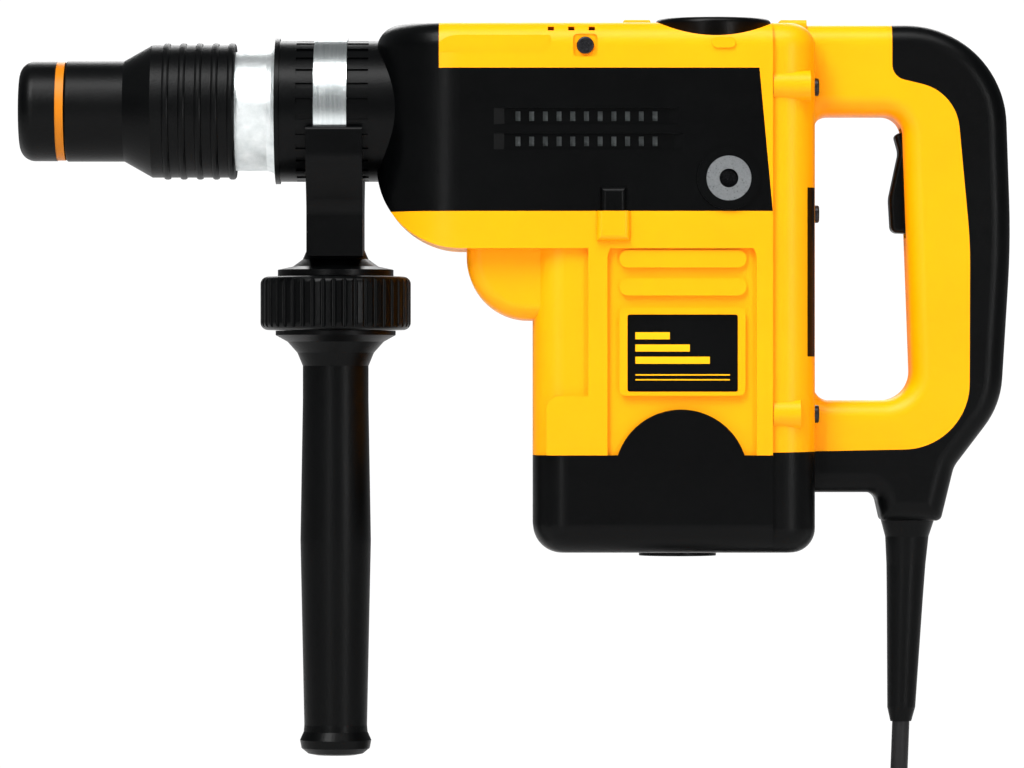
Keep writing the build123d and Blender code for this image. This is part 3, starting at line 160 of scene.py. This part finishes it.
# ---------------------------------------------------------------- finishes
def moulded(name, dark, light, low_rough, high_rough, grain, height, shine):
    """Moulded plastic or rubber: faint colour drift, uneven gloss and a fine spark-eroded grain."""
    mat, tree, shader = start_material(name)
    where = object_space(tree)
    drift = noise(tree, where, 22, 4)
    tree.links.new(ramp(tree, drift, dark, light), shader.inputs["Base Color"])
    gloss = noise(tree, where, 90, 5)
    tree.links.new(span(tree, gloss, low_rough, high_rough), shader.inputs["Roughness"])
    bump(tree, shader, noise(tree, where, grain, 3), height)
    shader.inputs["Specular IOR Level"].default_value = shine
    return mat


def cast_metal(name, dark, light):
    """Bead-blasted casting: fine pits and a soft mottled sheen."""
    mat, tree, shader = start_material(name)
    where = object_space(tree)
    tree.links.new(ramp(tree, noise(tree, where, 160, 5), dark, light), shader.inputs["Base Color"])
    tree.links.new(span(tree, noise(tree, where, 400, 4), 0.32, 0.52), shader.inputs["Roughness"])
    bump(tree, shader, noise(tree, where, 1500, 4), 0.00012)
    shader.inputs["Metallic"].default_value = 1.0
    return mat


def brushed_metal(name, dark, light, along, rough=(0.18, 0.36)):
    """Brushed steel, with scratches stretched along one direction."""
    mat, tree, shader = start_material(name)
    where = object_space(tree, along)
    streaks = noise(tree, where, 1500, 3, 0.6)
    tree.links.new(ramp(tree, streaks, dark, light), shader.inputs["Base Color"])
    tree.links.new(span(tree, streaks, *rough), shader.inputs["Roughness"])
    bump(tree, shader, streaks, 0.00003)
    shader.inputs["Metallic"].default_value = 1.0
    return mat


def plain_metal(name, dark, light, rough):
    """Ground or turned metal with a light stain."""
    return brushed_metal(name, dark, light, (1, 1, 1), rough)


# Each row: name, colour from and to; then for mouldings roughness from and to, grains a metre,
# grain height and specular level, and for metals the roughness from and to.
DEEP_BLACK = (0.0005, 0.0006, 0.0007), (0.001, 0.0012, 0.0013)
YELLOW = moulded("yellow_housing", (0.96, 0.35, 0.0), (1.0, 0.375, 0.0), 0.34, 0.42, 1400, 0.00004, 0.16)
BLACK = moulded("black_nylon", *DEEP_BLACK, 0.26, 0.34, 1300, 0.00005, 0.1)
RUBBER = moulded("soft_overmould", *DEEP_BLACK, 0.3, 0.4, 900, 0.00008, 0.1)
JACKET = moulded("cable_jacket", (0.002, 0.002, 0.0025), (0.004, 0.004, 0.0045), 0.4, 0.5, 700, 0.00005, 0.3)
ORANGE = moulded("marker_orange", (0.5, 0.15, 0.001), (0.56, 0.17, 0.001), 0.35, 0.48, 1200, 0.00004, 0.2)
CAST = cast_metal("blasted_aluminium", (0.58, 0.62, 0.62), (0.80, 0.83, 0.83))
# Darkened casting: painted shade inside the vent slots, where the gearcase shows through.
CAST_PAINTED_SHADE = cast_metal("painted_shade_casting", (0.10, 0.11, 0.11), (0.22, 0.24, 0.24))
STRAP = brushed_metal("brushed_strap", (0.62, 0.67, 0.67), (0.78, 0.82, 0.82), (1, 0.03, 0.03), (0.2, 0.3))
STEEL = plain_metal("ground_steel", (0.42, 0.44, 0.45), (0.52, 0.54, 0.55), (0.24, 0.34))
# Dark steel for the dark_steel parts; on the insert holes' lining and floor its darkness is painted shade.
DARK_STEEL_AND_HOLE_SHADE = plain_metal("dark_steel_and_hole_shade", (0.02, 0.02, 0.022), (0.05, 0.05, 0.055), (0.3, 0.45))
COPPER = plain_metal("copper_wire", (0.55, 0.22, 0.10), (0.78, 0.36, 0.18), (0.25, 0.4))
BRASS = plain_metal("turned_brass", (0.60, 0.42, 0.16), (0.80, 0.60, 0.28), (0.22, 0.36))
CARBON = moulded("carbon_block", (0.01, 0.01, 0.01), (0.03, 0.03, 0.03), 0.5, 0.65, 2000, 0.00008, 0.3)
NYLON = moulded("natural_nylon", (0.32, 0.30, 0.25), (0.40, 0.38, 0.33), 0.4, 0.55, 900, 0.00005, 0.4)
PRINT = moulded("label_print", (0.85, 0.40, 0.0), (0.95, 0.46, 0.0), 0.4, 0.5, 1500, 0.00001, 0.2)
FINISH = {
    "yellow_plastic": YELLOW, "black_plastic": BLACK, "black_rubber": RUBBER, "cord_rubber": JACKET,
    "cast_aluminium": CAST, "machined_steel": STEEL, "strap_steel": STRAP, "dark_steel": DARK_STEEL_AND_HOLE_SHADE,
    "ring_yellow": ORANGE, "copper": COPPER, "carbon": CARBON, "spring_steel": STEEL,
    "brass_metal": BRASS, "inner_plastic": NYLON,
}


def finish_frame():
    """Gives every CAD node the finish of its material slot, then gives the gearcase a darkened casting as
    painted shade behind the vent slots.
    """
    for part in frame["record"]["subparts"]:
        slots = nodes[part["node"]].data.materials
        finish = FINISH[part["material_slot"]]
        if len(slots) == 0:
            slots.append(finish)
        for i in range(len(slots)):
            slots[i] = finish
    # Painted shade: the gearcase, seen only through the vent slots, gets the darkened casting.
    nodes["gearcase"].data.materials[0] = CAST_PAINTED_SHADE


# ---------------------------------------------------------------- piece helpers
def piece(name, bm, finish, body, smooth=True, angle=35):
    """Object from a bmesh, in place, smooth-shaded up to an angle, riding on a body."""
    mesh = bpy.data.meshes.new(name)
    bm.to_mesh(mesh)
    bm.free()
    mesh.materials.append(finish)
    obj = bpy.data.objects.new(name, mesh)
    bpy.context.scene.collection.objects.link(obj)
    if smooth:
        mesh.shade_smooth()
        mesh.set_sharp_from_angle(angle=math.radians(angle))
    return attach(obj, body)


def flat_bar(bm, x0, x1, y0, y1, z0, z1):
    """Adds one box to a bmesh."""
    made = bmesh.ops.create_cube(bm, size=1)["verts"]
    bmesh.ops.scale(bm, vec=(x1 - x0, y1 - y0, z1 - z0), verts=made)
    bmesh.ops.translate(bm, vec=((x0 + x1) / 2, (y0 + y1) / 2, (z0 + z1) / 2), verts=made)


# ---------------------------------------------------------------- small detail
def plate_print():
    """Plain printed bars on each nameplate, in place of any lettering."""
    low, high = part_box("nameplates")
    left, right = low.x + PRINT_MARGIN, high.x - PRINT_MARGIN
    foot = low.z + PRINT_FOOT
    bm = bmesh.new()
    for side in (-1, 1):
        face = low.y if side < 0 else high.y
        y0, y1 = sorted((face - side * PRINT_SUNK, face + side * PRINT_PROUD))
        for z in (foot, foot + RULE_STEP):
            flat_bar(bm, left, right, y0, y1, z, z + RULE_HEIGHT)
        for k in range(BAR_COUNT):
            z = foot + BAR_START + BAR_STEP * k
            flat_bar(bm, left, right - BAR_SHORTER * (k + 1), y0, y1, z, z + BAR_HEIGHT)
    return piece("plate_print", bm, PRINT, "housing", smooth=False)


def side_strip():
    """Blank dark label that follows the rounded rear edge of the handle's front column."""
    shell = nodes["handle_left_shell"]
    bpy.context.view_layer.update()
    back = shell.matrix_world.inverted()
    towards = back.to_3x3() @ Vector((0, 1, 0))
    bm = bmesh.new()
    grid = []
    for i in range(STRIP_ROWS):
        z = STRIP_TOP - STRIP_HEIGHT * i / (STRIP_ROWS - 1)
        row = []
        for k in range(STRIP_COLUMNS):
            x = STRIP_X + STRIP_WIDTH * k / (STRIP_COLUMNS - 1)
            start = back @ Vector((x, STRIP_RAY_Y, z))
            found, place, normal, _ = shell.ray_cast(start, towards)
            if found:
                place = shell.matrix_world @ (place + normal * STRIP_PROUD)
                row.append(bm.verts.new(place))
        grid.append(row)
    for above, below in zip(grid, grid[1:]):
        for k in range(min(len(above), len(below)) - 1):
            bm.faces.new((above[k], below[k], below[k + 1], above[k + 1]))
    return piece("side_strip", bm, BLACK, "housing")


def insert_threads():
    """Threaded wall and floor of each steel insert's hole, kept dark as painted shade down the hole."""
    low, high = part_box("handle_inserts")
    centre_x, centre_z = (low.x + high.x) / 2, (low.z + high.z) / 2
    depth = -THREAD_PITCH * THREAD_TURNS
    bm = bmesh.new()
    for side in (-1, 1):
        mouth = low.y if side < 0 else high.y
        profile = [bm.verts.new((0.0001, 0, depth)), bm.verts.new((THREAD_ROOT, 0, depth))]
        for k in range(THREAD_TURNS):
            profile.append(bm.verts.new((THREAD_CREST, 0, -THREAD_PITCH * (THREAD_TURNS - k - 0.5))))
            profile.append(bm.verts.new((THREAD_ROOT, 0, -THREAD_PITCH * (THREAD_TURNS - k - 1))))
        edges = [bm.edges.new(pair) for pair in zip(profile, profile[1:])]
        bmesh.ops.spin(
            bm, geom=profile + edges, cent=(0, 0, 0), axis=(0, 0, 1), dvec=(0, 0, 0),
            angle=2 * math.pi, steps=THREAD_SIDES, use_merge=True,
        )
        fresh = [v for v in bm.verts if not v.tag]
        turn = Matrix.Rotation(side * math.radians(-90), 3, "X")
        bmesh.ops.rotate(bm, verts=fresh, cent=(0, 0, 0), matrix=turn)
        bmesh.ops.translate(bm, verts=fresh, vec=(centre_x, mouth - side * THREAD_SINK, centre_z))
        for v in fresh:
            v.tag = True
    bmesh.ops.recalc_face_normals(bm, faces=bm.faces)
    # Painted shade: the dark lining and floor disc stand for the shade down each hole.
    return piece("insert_threads", bm, DARK_STEEL_AND_HOLE_SHADE, "housing")


def coil_spring(node, body, wire, turns):
    """Wire spring along X in place of a CAD spring, evenly pitched over the CAD spring's length."""
    low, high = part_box(node)
    middle = (low + high) / 2
    radius = (high.z - low.z) / 2 - wire
    run = high.x - low.x - 2 * wire
    steps = turns * SPRING_STEPS
    curve = bpy.data.curves.new(node + "_wire", "CURVE")
    curve.dimensions = "3D"
    spline = curve.splines.new("NURBS")
    spline.points.add(steps)
    for k, point in enumerate(spline.points):
        angle = 2 * math.pi * turns * k / steps
        y = middle.y + radius * math.cos(angle)
        z = middle.z + radius * math.sin(angle)
        point.co = (low.x + wire + run * k / steps, y, z, 1)
    spline.order_u = 3
    spline.use_endpoint_u = True
    curve.bevel_depth = wire
    curve.bevel_resolution = 3
    curve.use_fill_caps = True
    maker = bpy.data.objects.new(node + "_maker", curve)
    bpy.context.scene.collection.objects.link(maker)
    bpy.context.view_layer.update()
    mesh = bpy.data.meshes.new_from_object(maker.evaluated_get(bpy.context.evaluated_depsgraph_get()))
    bpy.data.objects.remove(maker)
    obj = bpy.data.objects.new(node + "_wire", mesh)
    mesh.materials.clear()
    mesh.materials.append(STEEL)
    mesh.shade_smooth()
    bpy.context.scene.collection.objects.link(obj)
    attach(obj, body)
    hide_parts(node)
    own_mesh(obj)
    return obj


def springs():
    """Return springs of the sleeve and the trigger."""
    coil_spring("sleeve_spring", "spindle_set", 0.0011, 7)
    coil_spring("trigger_spring", "housing", 0.0004, 5)


def coil_tie():
    """Hook-and-loop band round the bundle of spare lead."""
    inner = COIL_IN - CORD_R
    outer = COIL_OUT + CORD_R
    bm = bmesh.new()
    x0, x1 = COIL_X - outer - TIE_THICK, COIL_X - inner + TIE_THICK
    z0, z1 = FLOOR_Z + TIE_GAP, COIL_HIGH.z + TIE_THICK
    flat_bar(bm, x0, x1, COIL_Y - TIE_HALF, COIL_Y + TIE_HALF, z0, z1)
    ends = [f for f in bm.faces if abs(f.normal.y) > 0.9]
    bmesh.ops.delete(bm, geom=ends, context="FACES")
    bmesh.ops.bevel(
        bm, geom=[e for e in bm.edges if abs((e.verts[0].co - e.verts[1].co).y) > TIE_HALF],
        offset=TIE_CORNER, affect="EDGES", segments=4, profile=0.5,
    )
    obj = piece("coil_tie", bm, RUBBER, "housing")
    thick = obj.modifiers.new("thickness", "SOLIDIFY")
    thick.thickness = TIE_THICK
    return obj


# ---------------------------------------------------------------- mains lead
def coil_points():
    """Turns of the spare lead: inwards along the floor, up the inner column and down the outer one."""
    rise = COIL_LAYERS - 1
    inward_from, inward_turns, shift, outward_turns = 0.15, 0.3, 0.45, 0.4
    top = shift + rise
    back = top + outward_turns
    turns = round(back + rise - 0.5) + 0.5
    points = []
    for k in range(1, int(turns * POINTS_PER_TURN)):
        t = k / POINTS_PER_TURN
        if t < shift:
            share = min(max((t - inward_from) / inward_turns, 0), 1)
            radius, level = COIL_OUT + (COIL_IN - COIL_OUT) * share, 0
        elif t < top:
            radius, level = COIL_IN, t - shift
        elif t < back:
            share = (t - top) / (back - top)
            radius, level = COIL_IN + (COIL_OUT - COIL_IN) * share, rise
        else:
            radius, level = COIL_OUT, rise - (t - back) * rise / (turns - back)
        angle = 2 * math.pi * t
        points.append(
            (
                COIL_X + radius * math.cos(angle),
                COIL_Y + radius * math.sin(angle),
                FLOOR_Z + CORD_R + 2 * CORD_R * level,
            )
        )
    return points


def mains_lead():
    """The whole lead as one smooth line from the boot to the plug."""
    route = LEAD + coil_points() + TAIL
    curve = bpy.data.curves.new("mains_lead", "CURVE")
    curve.dimensions = "3D"
    spline = curve.splines.new("NURBS")
    spline.points.add(len(route) - 1)
    for point, place in zip(spline.points, route):
        point.co = (*place, 1)
    spline.order_u = 3
    spline.use_endpoint_u = True
    spline.resolution_u = 4
    curve.bevel_depth = CORD_R
    curve.bevel_resolution = 5
    curve.materials.append(JACKET)
    lead = bpy.data.objects.new("mains_lead", curve)
    bpy.context.scene.collection.objects.link(lead)
    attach(lead, "housing")
    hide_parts("cord", "cord_coil", "cord_tail")
    return lead


# ---------------------------------------------------------------- stage
def floor_finish():
    """Pale matt floor that fades into the white surroundings away from the object."""
    mat, tree, shader = start_material("pale_floor")
    where = object_space(tree)
    tone = ramp(tree, noise(tree, where, 3, 3), (0.80, 0.80, 0.80), (0.84, 0.84, 0.84))
    tree.links.new(tone, shader.inputs["Base Color"])
    shader.inputs["Roughness"].default_value = 0.8
    away = add(tree, "ShaderNodeVectorMath", operation="LENGTH")
    tree.links.new(where, away.inputs[0])
    fade = add(tree, "ShaderNodeMapRange", interpolation_type="SMOOTHSTEP")
    fade.inputs["From Min"].default_value = FLOOR_FADE[0]
    fade.inputs["From Max"].default_value = FLOOR_FADE[1]
    tree.links.new(away.outputs["Value"], fade.inputs["Value"])
    glow = add(tree, "ShaderNodeEmission", Color=(1, 1, 1, 1), Strength=WHITE_GLOW)
    mix = add(tree, "ShaderNodeMixShader")
    path = add(tree, "ShaderNodeLightPath")
    seen = add(tree, "ShaderNodeMath", operation="MULTIPLY")
    tree.links.new(fade.outputs["Result"], seen.inputs[0])
    tree.links.new(path.outputs["Is Camera Ray"], seen.inputs[1])
    tree.links.new(seen.outputs["Value"], mix.inputs["Fac"])
    tree.links.new(shader.outputs["BSDF"], mix.inputs[1])
    tree.links.new(glow.outputs["Emission"], mix.inputs[2])
    tree.links.new(mix.outputs["Shader"], tree.nodes["Material Output"].inputs["Surface"])
    return mat


def stage():
    """Pale floor, soft studio lights and the camera."""
    scene = bpy.context.scene
    scene.view_settings.view_transform = "Standard"
    floor_bm = bmesh.new()
    bmesh.ops.create_grid(floor_bm, x_segments=1, y_segments=1, size=FLOOR_HALF)
    bmesh.ops.translate(floor_bm, verts=floor_bm.verts, vec=(0.2, 0, FLOOR_Z - FLOOR_DROP))
    mesh = bpy.data.meshes.new("floor")
    floor_bm.to_mesh(mesh)
    floor_bm.free()
    mesh.materials.append(floor_finish())
    floor = bpy.data.objects.new("floor", mesh)
    scene.collection.objects.link(floor)

    world = bpy.data.worlds.new("studio")
    scene.world = world
    world.use_nodes = True
    tree = world.node_tree
    light = tree.nodes["Background"]
    light.inputs["Color"].default_value = (0.95, 0.97, 1.0, 1)
    light.inputs["Strength"].default_value = SKY_LIGHT
    seen = add(tree, "ShaderNodeBackground", Color=(1, 1, 1, 1), Strength=WHITE_GLOW)
    path = add(tree, "ShaderNodeLightPath")
    mix = add(tree, "ShaderNodeMixShader")
    tree.links.new(path.outputs["Is Camera Ray"], mix.inputs["Fac"])
    tree.links.new(light.outputs["Background"], mix.inputs[1])
    tree.links.new(seen.outputs["Background"], mix.inputs[2])
    tree.links.new(mix.outputs["Shader"], tree.nodes["World Output"].inputs["Surface"])

    for name, place, wide, high, power in LAMPS:
        lamp = bpy.data.lights.new(name, "AREA")
        lamp.shape = "RECTANGLE"
        lamp.size = wide
        lamp.size_y = high
        lamp.energy = power
        obj = bpy.data.objects.new(name, lamp)
        obj.location = place
        obj.rotation_euler = (VIEW_CENTRE - Vector(place)).to_track_quat("-Z", "Y").to_euler()
        scene.collection.objects.link(obj)
    sun = bpy.data.lights.new("sky_sun", "SUN")
    sun.energy = SUN_LIGHT
    sun.angle = math.radians(25)
    obj = bpy.data.objects.new("sky_sun", sun)
    obj.rotation_euler = (math.radians(28), math.radians(-18), 0)
    scene.collection.objects.link(obj)

    camera = bpy.data.cameras.new("camera")
    camera.lens = CAMERA_LENS
    camera.sensor_width = CAMERA_SENSOR
    camera.clip_end = 50
    obj = bpy.data.objects.new("camera", camera)
    obj.location = (VIEW_CENTRE.x, -CAMERA_BACK, VIEW_CENTRE.z)
    obj.rotation_euler = (math.radians(90), 0, 0)
    scene.collection.objects.link(obj)
    scene.camera = obj


stage()
finish_frame()
mains_lead()
plate_print()
side_strip()
insert_threads()
springs()
coil_tie()
